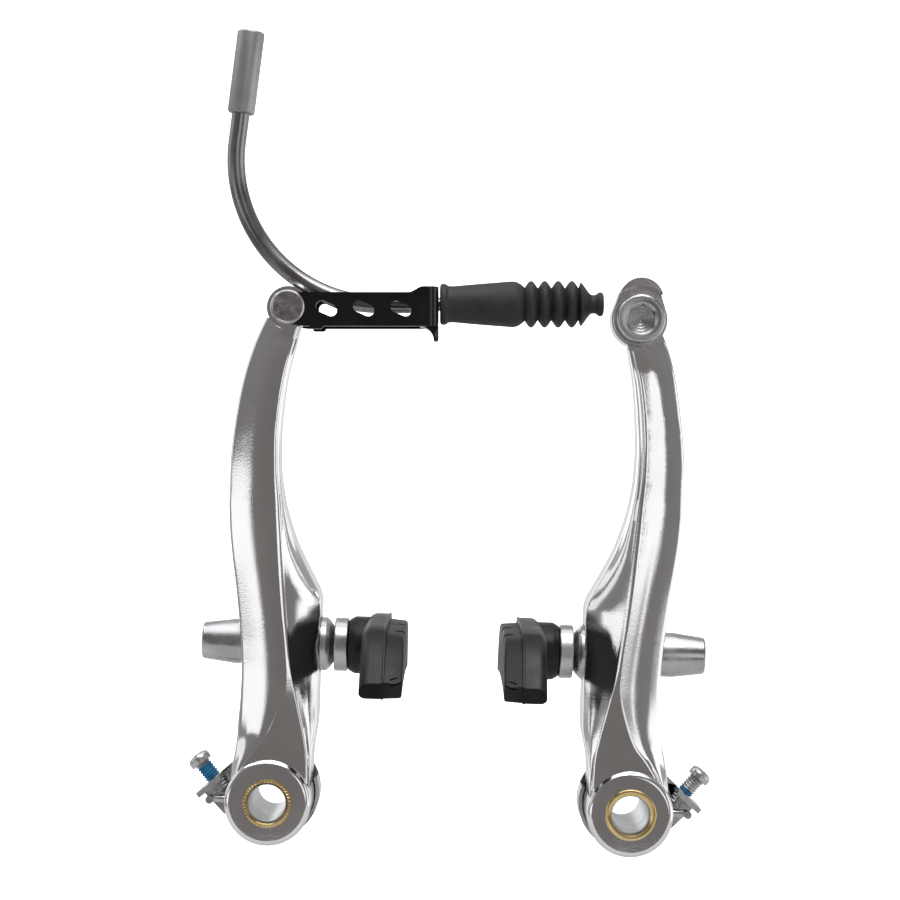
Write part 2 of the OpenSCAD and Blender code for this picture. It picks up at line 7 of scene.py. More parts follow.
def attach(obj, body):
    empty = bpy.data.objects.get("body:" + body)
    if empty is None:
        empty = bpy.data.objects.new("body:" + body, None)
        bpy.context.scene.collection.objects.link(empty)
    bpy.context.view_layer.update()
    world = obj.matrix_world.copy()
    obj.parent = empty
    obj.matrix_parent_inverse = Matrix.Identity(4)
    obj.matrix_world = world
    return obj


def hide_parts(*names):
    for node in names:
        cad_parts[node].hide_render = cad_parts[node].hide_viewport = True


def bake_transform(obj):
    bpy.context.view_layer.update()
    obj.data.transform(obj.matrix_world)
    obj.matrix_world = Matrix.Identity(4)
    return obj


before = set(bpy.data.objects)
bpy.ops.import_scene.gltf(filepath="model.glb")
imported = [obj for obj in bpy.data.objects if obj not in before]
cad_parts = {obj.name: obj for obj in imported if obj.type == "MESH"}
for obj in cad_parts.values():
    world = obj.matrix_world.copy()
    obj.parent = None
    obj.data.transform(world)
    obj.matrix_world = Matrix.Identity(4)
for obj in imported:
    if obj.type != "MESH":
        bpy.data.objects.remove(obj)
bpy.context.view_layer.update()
print("frame loaded")

mm = 0.001
sides = {"left": -1, "right": 1}
bossX = 40  # each frame boss stands this far from the middle

view = {"place": (-2.26, -464, 78.95), "roll": 1.84, "lens": 80.1}


def addCamera():
    cam = bpy.data.cameras.new("camera")
    cam.lens, cam.sensor_width = view["lens"], 36
    cam.clip_start, cam.clip_end = 0.01, 50
    obj = bpy.data.objects.new("camera", cam)
    t = radians(view["roll"])
    m = Matrix(((cos(t), -sin(t), 0), (0, 0, -1), (sin(t), cos(t), 0))).to_4x4()
    m.translation = Vector(view["place"]) * mm
    obj.matrix_world = m
    bpy.context.scene.collection.objects.link(obj)
    bpy.context.scene.camera = obj


addCamera()
print("camera set")

# every shape below is given in millimetres


def linkMesh(name, verts, faces, smoothAngle=35):
    mesh = bpy.data.meshes.new(name)
    mesh.from_pydata([Vector(v) * mm for v in verts], [], faces)
    obj = bpy.data.objects.new(name, mesh)
    bpy.context.scene.collection.objects.link(obj)
    tidyNormals(obj, smoothAngle)
    return obj


def tidyNormals(obj, smoothAngle=35):
    bm = bmesh.new()
    bm.from_mesh(obj.data)
    bmesh.ops.remove_doubles(bm, verts=bm.verts, dist=1e-7)
    bmesh.ops.recalc_face_normals(bm, faces=bm.faces)
    bm.to_mesh(obj.data)
    bm.free()
    smoothByAngle(obj, smoothAngle)


def smoothByAngle(obj, angle):
    obj.data.shade_smooth()
    limit = radians(angle)
    bm = bmesh.new()
    bm.from_mesh(obj.data)
    for e in bm.edges:
        e.smooth = len(e.link_faces) == 2 and e.calc_face_angle(0) < limit
    bm.to_mesh(obj.data)
    bm.free()


def applied(obj):
    bpy.context.view_layer.update()
    mesh = bpy.data.meshes.new_from_object(obj.evaluated_get(bpy.context.evaluated_depsgraph_get()))
    obj.modifiers.clear()
    obj.data = mesh
    return obj


def cut(obj, tool, how="DIFFERENCE"):
    mod = obj.modifiers.new("cut", "BOOLEAN")
    mod.operation, mod.object, mod.solver = how, tool, "EXACT"
    applied(obj)
    bpy.data.objects.remove(tool)


def bevelled(obj, width, segments=2, angle=30):
    mod = obj.modifiers.new("bevel", "BEVEL")
    mod.width, mod.segments, mod.angle_limit = width * mm, segments, radians(angle)
    mod.limit_method, mod.harden_normals = "ANGLE", False
    mod.use_clamp_overlap = True
    return obj


def evenFaces(obj, angle=1.0):
    bm = bmesh.new()
    bm.from_mesh(obj.data)
    bmesh.ops.dissolve_limit(bm, angle_limit=radians(angle), verts=bm.verts, edges=bm.edges)
    bm.to_mesh(obj.data)
    bm.free()


def weighed(obj, angle=40):
    # large faces stay flat beside their broken edges
    smoothByAngle(obj, angle)
    mod = obj.modifiers.new("weigh", "WEIGHTED_NORMAL")
    mod.mode, mod.keep_sharp = "FACE_AREA", True
    return applied(obj)


def ringSkin(name, rings, closed=False, caps=True, smoothAngle=35):
    n = len(rings[0])
    verts = [p for r in rings for p in r]
    faces = []
    last = len(rings) if closed else len(rings) - 1
    for i in range(last):
        a, b = i * n, ((i + 1) % len(rings)) * n
        faces += [(a + j, a + (j + 1) % n, b + (j + 1) % n, b + j) for j in range(n)]
    if caps and not closed:
        faces += [tuple(range(n))[::-1], tuple(range((len(rings) - 1) * n, len(rings) * n))]
    return linkMesh(name, verts, faces, smoothAngle)


def turned(name, profile, at, axis, count=96, smoothAngle=35, closedProfile=False):
    # profile: [radius, place along the axis]; the ends at radius 0 close the shape
    z = Vector(axis).normalized()
    x = z.cross(Vector((0, 1, 0)) if abs(z.y) < 0.9 else Vector((1, 0, 0))).normalized()
    y = z.cross(x)
    rings = []
    for k in range(count):
        q = 2 * pi * k / count
        d = x * cos(q) + y * sin(q)
        rings.append([Vector(at) + d * max(r, 0) + z * h for r, h in profile])
    n = len(profile)
    verts = [p for r in rings for p in r]
    span = n if closedProfile else n - 1
    faces = []
    for i in range(count):
        a, b = i * n, (i + 1) % count * n
        faces += [(a + j, a + (j + 1) % n, b + (j + 1) % n, b + j) for j in range(span)]
    return linkMesh(name, verts, faces, smoothAngle)


def rounded(points, radius, steps=4, closed=True):
    # rounds the corners of a flat outline; radius is one number or a list
    out = []
    n = len(points)
    for i, p in enumerate(points):
        r = radius[i] if isinstance(radius, (list, tuple)) else radius
        if r <= 0 or (not closed and i in (0, n - 1)):
            out.append(tuple(p))
            continue
        p, a, b = Vector(p), Vector(points[i - 1]), Vector(points[(i + 1) % n])
        ta, tb = min(0.48, r / max((a - p).length, 1e-9)), min(0.48, r / max((b - p).length, 1e-9))
        u, w = p + (a - p) * ta, p + (b - p) * tb
        for k in range(steps + 1):
            s = k / steps
            out.append(tuple((1 - s) ** 2 * u + 2 * s * (1 - s) * p + s * s * w))
    return out


def rod(name, r, start, end, count=64):
    start, end = Vector(start), Vector(end)
    axis = end - start
    return turned(name, [(0, 0), (r, 0), (r, axis.length), (0, axis.length)], start, axis, count)


def quarter(step=15):
    return [radians(a) for a in range(0, 91, step)]


def eased(t):
    t = min(1, max(0, t))
    return t * t * (3 - 2 * t)


def block(name, low, high):
    (a, b, c), (d, e, f) = low, high
    verts = [(x, y, z) for x in (a, d) for y in (b, e) for z in (c, f)]
    faces = [(0, 1, 3, 2), (4, 6, 7, 5), (0, 4, 5, 1), (2, 3, 7, 6), (0, 2, 6, 4), (1, 5, 7, 3)]
    return linkMesh(name, verts, faces)


def prism(name, outline, low, high, place):
    # outline is flat; place(u, v, w) puts it into the object's frame
    return ringSkin(name, [[place(u, v, w) for u, v in outline] for w in (low, high)])


def smoothAt(z, table):
    xs, ys = [t[0] for t in table], [t[1] for t in table]
    if z <= xs[0]:
        return ys[0]
    if z >= xs[-1]:
        return ys[-1]
    i = max(k for k in range(len(xs) - 1) if xs[k] <= z)
    sec = [(ys[k + 1] - ys[k]) / (xs[k + 1] - xs[k]) for k in range(len(xs) - 1)]

    def slope(k):
        if k == 0 or k == len(xs) - 1:
            return sec[0] if k == 0 else sec[-1]
        a, b = sec[k - 1], sec[k]
        return 0 if a * b <= 0 else 2 * a * b / (a + b)
    h = xs[i + 1] - xs[i]
    t = (z - xs[i]) / h
    return (ys[i] * (2 * t ** 3 - 3 * t * t + 1) + h * slope(i) * (t ** 3 - 2 * t * t + t)
            + ys[i + 1] * (3 * t * t - 2 * t ** 3) + h * slope(i + 1) * (t ** 3 - t * t))


def fineCopy(node, name, width=0.15, segments=2, angle=28, smoothAngle=40):
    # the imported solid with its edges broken, for pieces whose shape is already right
    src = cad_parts[node]
    mesh = src.data.copy()
    mesh.materials.clear()
    obj = bpy.data.objects.new(name, mesh)
    bpy.context.scene.collection.objects.link(obj)
    bm = bmesh.new()
    bm.from_mesh(mesh)
    bmesh.ops.remove_doubles(bm, verts=bm.verts, dist=2e-6)
    bmesh.ops.dissolve_limit(bm, angle_limit=radians(1.5), verts=bm.verts, edges=bm.edges)
    bm.to_mesh(mesh)
    bm.free()
    if width > 0:
        bevelled(obj, width, segments, angle)
        applied(obj)
    return weighed(obj, smoothAngle)


def finish(obj, node, body, material):
    obj.data.materials.clear()
    obj.data.materials.append(material)
    if body:
        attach(obj, body)
    if node:
        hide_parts(*([node] if isinstance(node, str) else node))
    return obj


def newMaterial(name, color, metal, rough, coat=0.0, coatRough=0.05, specular=0.5):
    mat = bpy.data.materials.new(name)
    mat.use_nodes = True
    b = mat.node_tree.nodes["Principled BSDF"]
    b.inputs["Base Color"].default_value = (*color, 1)
    b.inputs["Metallic"].default_value = metal
    b.inputs["Roughness"].default_value = rough
    b.inputs["Coat Weight"].default_value = coat
    b.inputs["Coat Roughness"].default_value = coatRough
    b.inputs["Specular IOR Level"].default_value = specular
    return mat


def grain(mat, scale, detail, roughSpan=None, colorSpan=None, bump=0.0, bumpScale=None, stretch=(1, 1, 1)):
    # noise in the piece's own coordinates: it varies the colour and the gloss, and lifts the surface a little
    nt = mat.node_tree
    b = nt.nodes["Principled BSDF"]
    co = nt.nodes.new("ShaderNodeTexCoord")
    mp = nt.nodes.new("ShaderNodeMapping")
    mp.inputs["Scale"].default_value = stretch
    nt.links.new(co.outputs["Object"], mp.inputs["Vector"])
    noise = nt.nodes.new("ShaderNodeTexNoise")
    noise.inputs["Scale"].default_value = scale
    noise.inputs["Detail"].default_value = detail
    nt.links.new(mp.outputs["Vector"], noise.inputs["Vector"])
    if roughSpan:
        mr = nt.nodes.new("ShaderNodeMapRange")
        mr.inputs["From Min"].default_value, mr.inputs["From Max"].default_value = 0.3, 0.7
        mr.inputs["To Min"].default_value, mr.inputs["To Max"].default_value = roughSpan
        nt.links.new(noise.outputs["Fac"], mr.inputs["Value"])
        nt.links.new(mr.outputs["Result"], b.inputs["Roughness"])
    if colorSpan:
        ramp = nt.nodes.new("ShaderNodeValToRGB")
        ramp.color_ramp.elements[0].position, ramp.color_ramp.elements[1].position = 0.3, 0.7
        ramp.color_ramp.elements[0].color = (*colorSpan[0], 1)
        ramp.color_ramp.elements[1].color = (*colorSpan[1], 1)
        nt.links.new(noise.outputs["Fac"], ramp.inputs["Fac"])
        nt.links.new(ramp.outputs["Color"], b.inputs["Base Color"])
    if bump:
        fine = nt.nodes.new("ShaderNodeTexNoise")
        fine.inputs["Scale"].default_value = bumpScale or scale
        fine.inputs["Detail"].default_value = 3
        nt.links.new(mp.outputs["Vector"], fine.inputs["Vector"])
        bp = nt.nodes.new("ShaderNodeBump")
        bp.inputs["Strength"].default_value = bump
        bp.inputs["Distance"].default_value = 0.0001
        nt.links.new(fine.outputs["Fac"], bp.inputs["Height"])
        nt.links.new(bp.outputs["Normal"], b.inputs["Normal"])
    return mat


polish = grain(newMaterial("polishedAluminium", (0.88, 0.88, 0.885), 1, 0.08), 90, 4, (0.05, 0.10),
               ((0.84, 0.84, 0.845), (0.92, 0.92, 0.92)), 0.12, 3000)
satin = grain(newMaterial("satinAluminium", (0.40, 0.40, 0.405), 1, 0.48), 200, 4, (0.42, 0.54),
              ((0.35, 0.35, 0.355), (0.44, 0.44, 0.44)), 0.25, 2200)
zinc = grain(newMaterial("zincPlate", (0.55, 0.56, 0.58), 1, 0.28), 160, 5, (0.2, 0.4),
             ((0.44, 0.445, 0.46), (0.62, 0.63, 0.64)), 0.2, 1800)
greySteel = grain(newMaterial("greySteel", (0.36, 0.36, 0.38), 1, 0.3), 180, 4, (0.24, 0.4),
                  ((0.28, 0.28, 0.30), (0.42, 0.42, 0.44)), 0.15, 1600)
darkSteel = grain(newMaterial("darkSteel", (0.30, 0.295, 0.29), 1, 0.26), 150, 4, (0.2, 0.34),
                  ((0.25, 0.245, 0.24), (0.35, 0.345, 0.34)), 0.15, 1500)
springWire = grain(newMaterial("springWire", (0.55, 0.55, 0.57), 1, 0.24), 300, 3, (0.18, 0.34),
                   ((0.45, 0.45, 0.47), (0.62, 0.62, 0.63)), 0.1, 1800)
brass = grain(newMaterial("machinedBrass", (0.78, 0.60, 0.28), 1, 0.22), 220, 4, (0.16, 0.32),
              ((0.66, 0.48, 0.20), (0.86, 0.68, 0.36)), 0.12, 1800)
blackPaint = grain(newMaterial("glossBlack", (0.004, 0.004, 0.004), 0, 0.2, 0.25, 0.06, 0.4), 120, 4,
                   (0.14, 0.26), ((0.002, 0.002, 0.002), (0.007, 0.006, 0.005)), 0.12, 900)
linerWhite = grain(newMaterial("linerPlastic", (0.8, 0.8, 0.78), 0, 0.5), 300, 3, (0.4, 0.6))
bootRubber = grain(newMaterial("bootRubber", (0.032, 0.032, 0.034), 0, 0.6, specular=0.4), 260, 5,
                   (0.5, 0.68), ((0.025, 0.025, 0.027), (0.042, 0.042, 0.044)), 0.35, 2600)
padRubber = grain(newMaterial("padRubber", (0.010, 0.010, 0.011), 0, 0.5, specular=0.35), 200, 5,
                  (0.42, 0.6), ((0.007, 0.007, 0.008), (0.016, 0.016, 0.017)), 0.35, 2200)
backRubber = grain(newMaterial("padBacking", (0.006, 0.006, 0.006), 0, 0.4, specular=0.35), 180, 5,
                   (0.34, 0.48), ((0.004, 0.004, 0.004), (0.010, 0.010, 0.010)), 0.3, 1800)
rivetFace = grain(newMaterial("rivetFace", (0.30, 0.28, 0.28), 1, 0.4), 700, 4, (0.34, 0.5),
                  ((0.24, 0.23, 0.24), (0.40, 0.34, 0.34)), 0.25, 2400)
threadLock = grain(newMaterial("threadLock", (0.01, 0.16, 0.34), 0, 0.45), 500, 4, (0.4, 0.6),
                   ((0.006, 0.11, 0.26), (0.02, 0.24, 0.46)), 0.3, 3000)
print("finishes made")

# two forged arms; each table gives one line of the section as pairs of height and place
arm = {
    "height": 109.3, "top": 107, "stations": 170, "eyeX": 1, "eyeRadius": 4.75, "eyeDepth": (12.5, 21.5),
    "rivetHole": 2.53, "through": (4, 30), "footRadius": 9.5, "footDepth": (9.2, 24), "footRound": 1.25,
    "bushRadius": 5.40, "bushDepth": (5, 26), "cupRadius": 10.9, "post": (-11.5, 34.3),
    "slotHalf": 3.2, "slotRadius": 3.25, "slotDepth": (-2, 14), "catchAt": (3.8, 47), "catchHole": 1.32,
    "catchDepth": (4, 14), "anchorRadius": 6.2, "anchorDepth": (11.5, 22), "spot": (7.3, 18.4),
    "boltHole": 3.1, "lobe": (4.2, 4.9), "lobeDepth": (12.5, 22), "lobeWeb": (0.97, 0.24),
    "edge": 0.22, "crease": 32,
    "outer": [(0, -8.6), (6, -8.5), (11, -7.8), (15, -7.0), (21, -6.3), (28, -6.1), (34, -6.4), (41, -7.1),
              (48, -8.0), (54, -8.9), (61, -9.7), (67, -10.0), (74, -10.0), (80, -9.7), (87, -8.9),
              (94, -7.8), (98, -6.95), (102, -5.85), (105, -4.75), (107, -3.95)],
    "ridge": [(0, -7.6), (6, -6.4), (11, -3.6), (15, -0.5), (21, 1.9), (25, 2.9), (28, 3.2), (34, 2.8),
              (41, 1.9), (48, 1.1), (61, 0), (67, -0.4), (74, -0.9), (80, -1.0), (87, -0.6), (94, 0.3),
              (100, 1.7), (107, 3.5)],
    "ridge2": [(0, 8.2), (6, 8.4), (11, 8.2), (15, 7.5), (21, 6.1), (28, 4.6), (34, 3.7), (41, 2.8),
               (48, 2.1), (61, 1), (67, 0.5), (74, -0.2), (80, -0.4), (87, 0), (94, 0.9),
               (100, 2.2), (107, 3.8)],
    "inner": [(0, 8.8), (6, 9.1), (11, 9.3), (18, 10), (44, 10), (46, 9.6), (48, 8.6), (51, 7), (54, 5.5),
              (57, 4.1), (61, 2.7), (67, 1.1), (74, 0.1), (80, -0.1), (87, 0.3), (94, 1.1),
              (100, 2.4), (107, 4.0)],
    "front": [(0, 22.8), (11, 22.8), (28, 23.2), (48, 23.2), (67, 23), (80, 22.8), (94, 22.65), (97.5, 22.5),
              (100.5, 22.0), (103, 21.5), (107, 21.46)],
    "innerDepth": [(0, 21.8), (11, 20.4), (21, 18.4), (28, 17.4), (48, 17.4), (54, 17.9), (61, 18.9),
                   (74, 20), (107, 19.9)],
    "back": [(0, 9.4), (6, 8.4), (15, 6.4), (21, 6), (48, 6), (54, 7.2), (61, 9.2), (67, 10.6), (80, 11.8),
             (94, 12.9), (107, 13)],
    "web": [(0, -6), (11, -3), (18, 1.6), (22, 2.6), (46, 2.6), (54, 1.2), (61, -1.5), (67, -3.4), (80, -5),
            (107, -1.3)],
    "bar": [(0, 9.8), (11, 11), (18, 16), (22, 18), (46, 18), (54, 16.2), (61, 13.6), (67, 12.2), (80, 12.6),
            (94, 13.3), (107, 13.4)],
    "bevel": [(0, 1.6), (6, 2.4), (15, 2.9), (30, 2.6), (60, 2.2), (90, 2.0), (107, 1.6)],
    "facet": 0.35, "crown": 0.5, "cheek": 0.45, "wider": {"left": ("outer", -0.9), "right": ("inner", 0.8)},
    "widerAt": [(0, 0), (9, 0), (20, 1), (88, 1), (100, 0.5), (107, 0.2)],
    "soft": [1.1, 0.45, 0.4, 0.7, 0.8, 0.8, 1.2, 1.4],
}


def bulged(a, b, towards, rise, count=5):
    # points between a and b, lifted into a shallow arch
    shares = [k / (count + 1) for k in range(1, count + 1)]
    return [tuple(a.lerp(b, t) + towards * (rise * 4 * t * (1 - t))) for t in shares]


def armSection(z, which):
    lines = ("outer", "ridge", "ridge2", "inner", "front", "innerDepth", "back", "web", "bar")
    g = {k: smoothAt(z, arm[k]) for k in lines}
    edge, more = arm["wider"][which]
    g[edge] += more * smoothAt(z, arm["widerAt"])
    f = g["front"]
    corners = [(g["outer"], -f + smoothAt(z, arm["bevel"])), (g["ridge"], -f),
               (g["ridge2"], -f + arm["facet"]), (g["inner"], -g["innerDepth"]),
               (g["inner"], -g["back"]), (g["web"], -g["back"]), (g["web"], -g["bar"]), (g["outer"] + 0.2, -g["bar"])]
    pts = [Vector(p) for p in rounded(corners, arm["soft"], 4)]
    # each corner is five points: the outer face starts at point 4 and the inner cheek at point 14
    crown = bulged(pts[4], pts[5], Vector((0, -1)), arm["crown"])
    a, b = pts[14], pts[15]
    cheek = bulged(a, b, Vector((b.y - a.y, a.x - b.x)).normalized(), arm["cheek"])
    return [*pts[:5], *crown, *pts[5:15], *cheek, *pts[15:]]


def armPlace(side, x, y, z):
    return (side * bossX - side * x, y, z)


def alongRod(side, r, x, z, deep, front, count=96):
    return rod("tool", r, armPlace(side, x, -deep, z), armPlace(side, x, -front, z), count)


def anchorEnd(side):
    # the round seat of the cable clamp, with a small lobe above it
    x, z, r = arm["eyeX"], arm["height"], arm["anchorRadius"]
    rise, lobeR = arm["lobe"]
    wide, high = arm["lobeWeb"]
    deep, front = arm["lobeDepth"]
    seat = alongRod(side, r, x, z, *arm["anchorDepth"])
    lobe = alongRod(side, lobeR, x, z + rise, deep, front)
    flat = [(-r * wide, r * high), (-lobeR * wide, rise + lobeR * high), (lobeR * wide, rise + lobeR * high),
            (r * wide, r * high)]
    web = prism("tool", flat, -front, -deep, lambda u, v, w: armPlace(side, x + u, w, z + v))
    cut(lobe, web, "UNION")
    cut(seat, lobe, "UNION")
    return seat


def armFoot(side):
    deep, front = arm["footDepth"]
    r, soft = arm["footRadius"], arm["footRound"]
    rim = [(r - soft * (1 - cos(q)), front - soft + soft * sin(q)) for q in quarter()]
    return turned("tool", [(0, deep), (r, deep)] + rim + [(0, front)], (side * bossX, 0, 0), (0, -1, 0), 128)


def postSlot(side):
    (y, z), half, r = arm["post"], arm["slotHalf"], arm["slotRadius"]
    bow = [pi * k / 20 for k in range(21)]
    outline = [(-r * cos(a), z - half - r * sin(a)) for a in bow]
    outline += [(r * cos(a), z + half + r * sin(a)) for a in bow]
    return prism("tool", outline, *arm["slotDepth"], lambda u, v, w: armPlace(side, w, y + u, v))


def buildArm(which):
    side = sides[which]
    heights = [arm["top"] * k / arm["stations"] for k in range(arm["stations"] + 1)]
    rings = [[armPlace(side, x, y, z) for x, y in armSection(z, which)] for z in heights]
    obj = ringSkin(which + "Arm", rings, smoothAngle=20)
    ex, h = arm["eyeX"], arm["height"]
    if which == "left":
        cut(obj, alongRod(side, arm["eyeRadius"], ex, h, *arm["eyeDepth"]), "UNION")
    else:
        cut(obj, anchorEnd(side), "UNION")
        cut(obj, alongRod(side, arm["spot"][0], ex, h, arm["spot"][1], arm["through"][1], 128))
        cut(obj, alongRod(side, arm["boltHole"], ex, h, *arm["through"]))
    cut(obj, armFoot(side), "UNION")
    cut(obj, alongRod(side, arm["bushRadius"], 0, 0, *arm["bushDepth"]))
    cut(obj, alongRod(side, arm["cupRadius"], 0, 0, 0, arm["footDepth"][0], 128))
    cut(obj, postSlot(side))
    cut(obj, alongRod(side, arm["catchHole"], *arm["catchAt"], *arm["catchDepth"], 48))
    if which == "left":
        cut(obj, alongRod(side, arm["rivetHole"], ex, h, *arm["through"], 64))
    tidyNormals(obj, 20)
    evenFaces(obj, 0.05)
    bevelled(obj, arm["edge"], 2, arm["crease"])
    applied(obj)
    weighed(obj, arm["crease"])
    return finish(obj, which + "_arm", which + "_lever", polish)


for which in sides:
    buildArm(which)
print("arms made")

# the link, the noodle and the boot share one frame: x runs along the link from its rivet
link = {"rivet": (-39, -17, 109.3), "tilt": 1.84, "length": 33.2, "sheet": 1.2, "inside": 4.65, "top": 3.3,
        "bottom": -4.2, "rise": 1.3, "riseFrom": 6.6, "riseOver": 3.2, "fallOver": 4, "bend": 2.0, "end": 3.7,
        "slots": (8.5, 16.7, 24.9), "slotSize": (1.15, 1.3), "slotZ": -0.3, "slant": -24, "hook": 3.2,
        "hookBow": (4.1, 3, 2.85), "strap": ((4.7, 0.4), (4.9, -0.6), (7.6, -0.6), (7.9, 0.4))}
rivetAt = Vector(link["rivet"])
tilt = radians(link["tilt"])
linkDir = Vector((cos(tilt), 0, sin(tilt)))


def tilted(x, y, z):
    return Vector((x * cos(tilt) - z * sin(tilt), y, x * sin(tilt) + z * cos(tilt)))


def atLink(x, y, z):
    return rivetAt + tilted(x, y, z)


noodle = {"height": 1, "radius": 2, "bore": 1.14, "linerRadius": 1.12, "linerBore": 0.85, "bend": 32.2,
          "turn": 97.3, "bendFrom": 20.2, "tail": 6.3, "collar": 2.9, "tip": 1.5, "tipLength": 9,
          "ferrule": 18.4, "ferruleRadius": 3.05, "grip": 2.02, "socket": 13, "housing": 2.55}


def tubePath(start, tail):
    # straight out of the link, round the bend, then a short straight tail
    bend, turn, x0, z0 = noodle["bend"], radians(noodle["turn"]), noodle["bendFrom"], noodle["height"]
    count = max(2, int(abs(start - x0) / 2))
    pts = [(atLink(start + (x0 - start) * k / count, 0, z0), -linkDir) for k in range(count)]
    for k in range(49):
        a = turn * k / 48
        pts.append((atLink(x0 - bend * sin(a), 0, z0 + bend - bend * cos(a)), tilted(-cos(a), 0, sin(a))))
    end, d = pts[-1]
    return pts + [(end + d * tail * k / 4, d) for k in range(1, 5)]


def sweep(name, path, radii, bore, count=40, smoothAngle=35):
    def ring(p, d, r):
        up = d.cross(Vector((0, 1, 0))).normalized()
        side = up.cross(d).normalized()
        turns = [2 * pi * k / count for k in range(count)]
        return [p + side * r * cos(q) + up * r * sin(q) for q in turns]
    rings = [ring(p, d, r) for (p, d), r in zip(path, radii)]
    rings += [ring(p, d, bore) for p, d in reversed(path)]
    return ringSkin(name, rings, closed=True, smoothAngle=smoothAngle)


def buildNoodle():
    seat = link["length"] - link["sheet"] - 0.1
    z0, r, c, t = noodle["height"], noodle["radius"], noodle["collar"], noodle["tip"]
    # the thin tip passes the end wall and the collar rests against it
    out = noodle["tipLength"]
    front = [(out, t - 0.2), (out - 0.2, t), (0.01, t), (0, c - 0.15), (-0.15, c), (-1.4, c),
             (-1.55, c - 0.1), (-2.3, r)]
    path = [(atLink(seat + x, 0, z0), -linkDir) for x, q in front]
    radii = [q for x, q in front]
    into = noodle["tail"] + noodle["ferrule"] - noodle["socket"]
    rest = tubePath(seat - 2.4, into - 0.6)
    tube = sweep("noodleTube", path + rest, radii + [r] * len(rest), noodle["bore"])
    finish(tube, "noodle_tube", "noodle", darkSteel)
    inside = tubePath(seat + out + 0.4, into - 0.8)
    liner = sweep("noodleLiner", inside, [noodle["linerRadius"]] * len(inside), noodle["linerBore"])
    finish(liner, "noodle_liner", "noodle", linerWhite)
    p, d = tubePath(seat, noodle["tail"])[-1]
    end, r, grip, housing = noodle["ferrule"], noodle["ferruleRadius"], noodle["grip"], noodle["housing"]
    floor = end - noodle["socket"]
    profile = [(grip, 0), (r - 0.55, 0), (r - 0.3, 0.08), (r - 0.08, 0.3), (r, 0.6), (r, end - 0.45),
               (r - 0.06, end - 0.2), (r - 0.2, end - 0.05), (r - 0.3, end), (housing + 0.08, end),
               (housing, end - 0.15), (housing, floor), (grip, floor)]
    ferrule = turned("noodleFerrule", profile, p, d, 96, 30, closedProfile=True)
    finish(ferrule, "noodle_ferrule", "noodle", satin)


buildNoodle()

# profiles are pairs of radius and place along the boot
boot = {"start": 33.5, "count": 96, "wall": 2.6, "folds": 4, "pitch": 3.03, "valley": 3.6, "crest": 1.62,
        "sleeve": [(1.6, 0), (4.3, 0.02), (4.6, 0.5), (4.6, 1.2), (4.35, 1.6), (4.08, 1.9), (4.05, 3),
                   (4.5, 8), (5.05, 15.0), (5.15, 16.3), (4.95, 17.3), (4.3, 18.3), (3.85, 18.8)],
        "inside": [(2.6, 18.8), (2.6, 12), (1.6, 8)],
        "tip": [(3.6, 0), (4.9, 0.35), (4.75, 0.75), (2.2, 2.6), (2.03, 3.3), (2.15, 3.9), (2.68, 4.5),
                (2.72, 5.0), (2.4, 5.6), (1.1, 5.58)]}


def softProfile(points, steps=5):
    return rounded(points, [0] + [0.7] * (len(points) - 2) + [0], steps, closed=False)


def bootPart(name, node, body, profile):
    at = atLink(0, 0, noodle["height"])
    placed = [(r, boot["start"] + h) for r, h in profile]
    obj = turned(name, placed, at, linkDir, boot["count"], 50, closedProfile=True)
    return finish(obj, node, body, bootRubber)


def buildBoot():
    wall, low, pitch = boot["wall"], boot["sleeve"][-1][1], boot["pitch"]
    high = low + pitch * boot["folds"]
    bootPart("bootSleeve", "boot_sleeve", "noodle", softProfile(boot["sleeve"]) + boot["inside"])
    folds = []
    steps = 16
    for k in range(boot["folds"] * steps + 1):
        lift = 0.5 - 0.5 * cos(2 * pi * (k % steps) / steps)
        folds.append((boot["valley"] + boot["crest"] * lift ** 0.55, low + pitch * k / steps))
    bellows = bootPart("bootBellows", "boot_bellows", None, folds + [(wall, high), (wall, low)])
    tip = softProfile([(r, high + h) for r, h in boot["tip"]]) + [(1.0, high + 2), (wall, high)]
    bootPart("bootTip", "boot_tip", "boot_end", tip)
    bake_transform(bellows)


buildBoot()


def linkTop(x):
    if x < 0:
        return min(link["top"], sqrt(max(0.0, link["end"] ** 2 - x * x)))
    return link["top"] + link["rise"] * eased((x - link["length"] + link["riseFrom"]) / link["riseOver"])


def linkBottom(x):
    if x < 0:
        return -sqrt(max(0.0, link["end"] ** 2 - x * x))
    return -link["end"] + (link["bottom"] + link["end"]) * eased(x / link["fallOver"])


def linkStations():
    # outer and inner points of the bent sheet, from the rivet end round the end wall and back
    length, sheet, inside, bend = link["length"], link["sheet"], link["inside"], link["bend"]
    outside = inside + sheet
    xs = [-link["end"] * cos(pi / 2 * (k + 0.1) / 10) for k in range(10)]
    xs += [length * k / 24 for k in range(18) if length * k / 24 < length - 7]
    xs += [length - link["riseFrom"] + link["riseOver"] * k / 8 for k in range(9)]
    stations = [(x, -outside, x, -inside) for x in xs]
    x, y = length - bend, bend - outside
    for k in range(9):
        u, v = sin(pi / 2 * k / 8), cos(pi / 2 * k / 8)
        stations.append((x + bend * u, y - bend * v, x + (bend - sheet) * u, y - (bend - sheet) * v))
    return stations + [(c, -d, e, -f) for c, d, e, f in reversed(stations)]


def linkSlot(x):
    # an oval hole through both cheeks, leaning a little
    w, r = link["slotSize"]
    q = radians(link["slant"])
    oval = [(w + r * cos(a), r * sin(a)) for a in [pi * (k / 12 - 0.5) for k in range(13)]]
    oval += [(-u, -v) for u, v in oval]
    oval = [(x + u * cos(q) - v * sin(q), link["slotZ"] + u * sin(q) + v * cos(q)) for u, v in oval]
    return prism("tool", oval, -9, 9, onCheek)


def onCheek(u, v, d):
    return atLink(u, d, v)


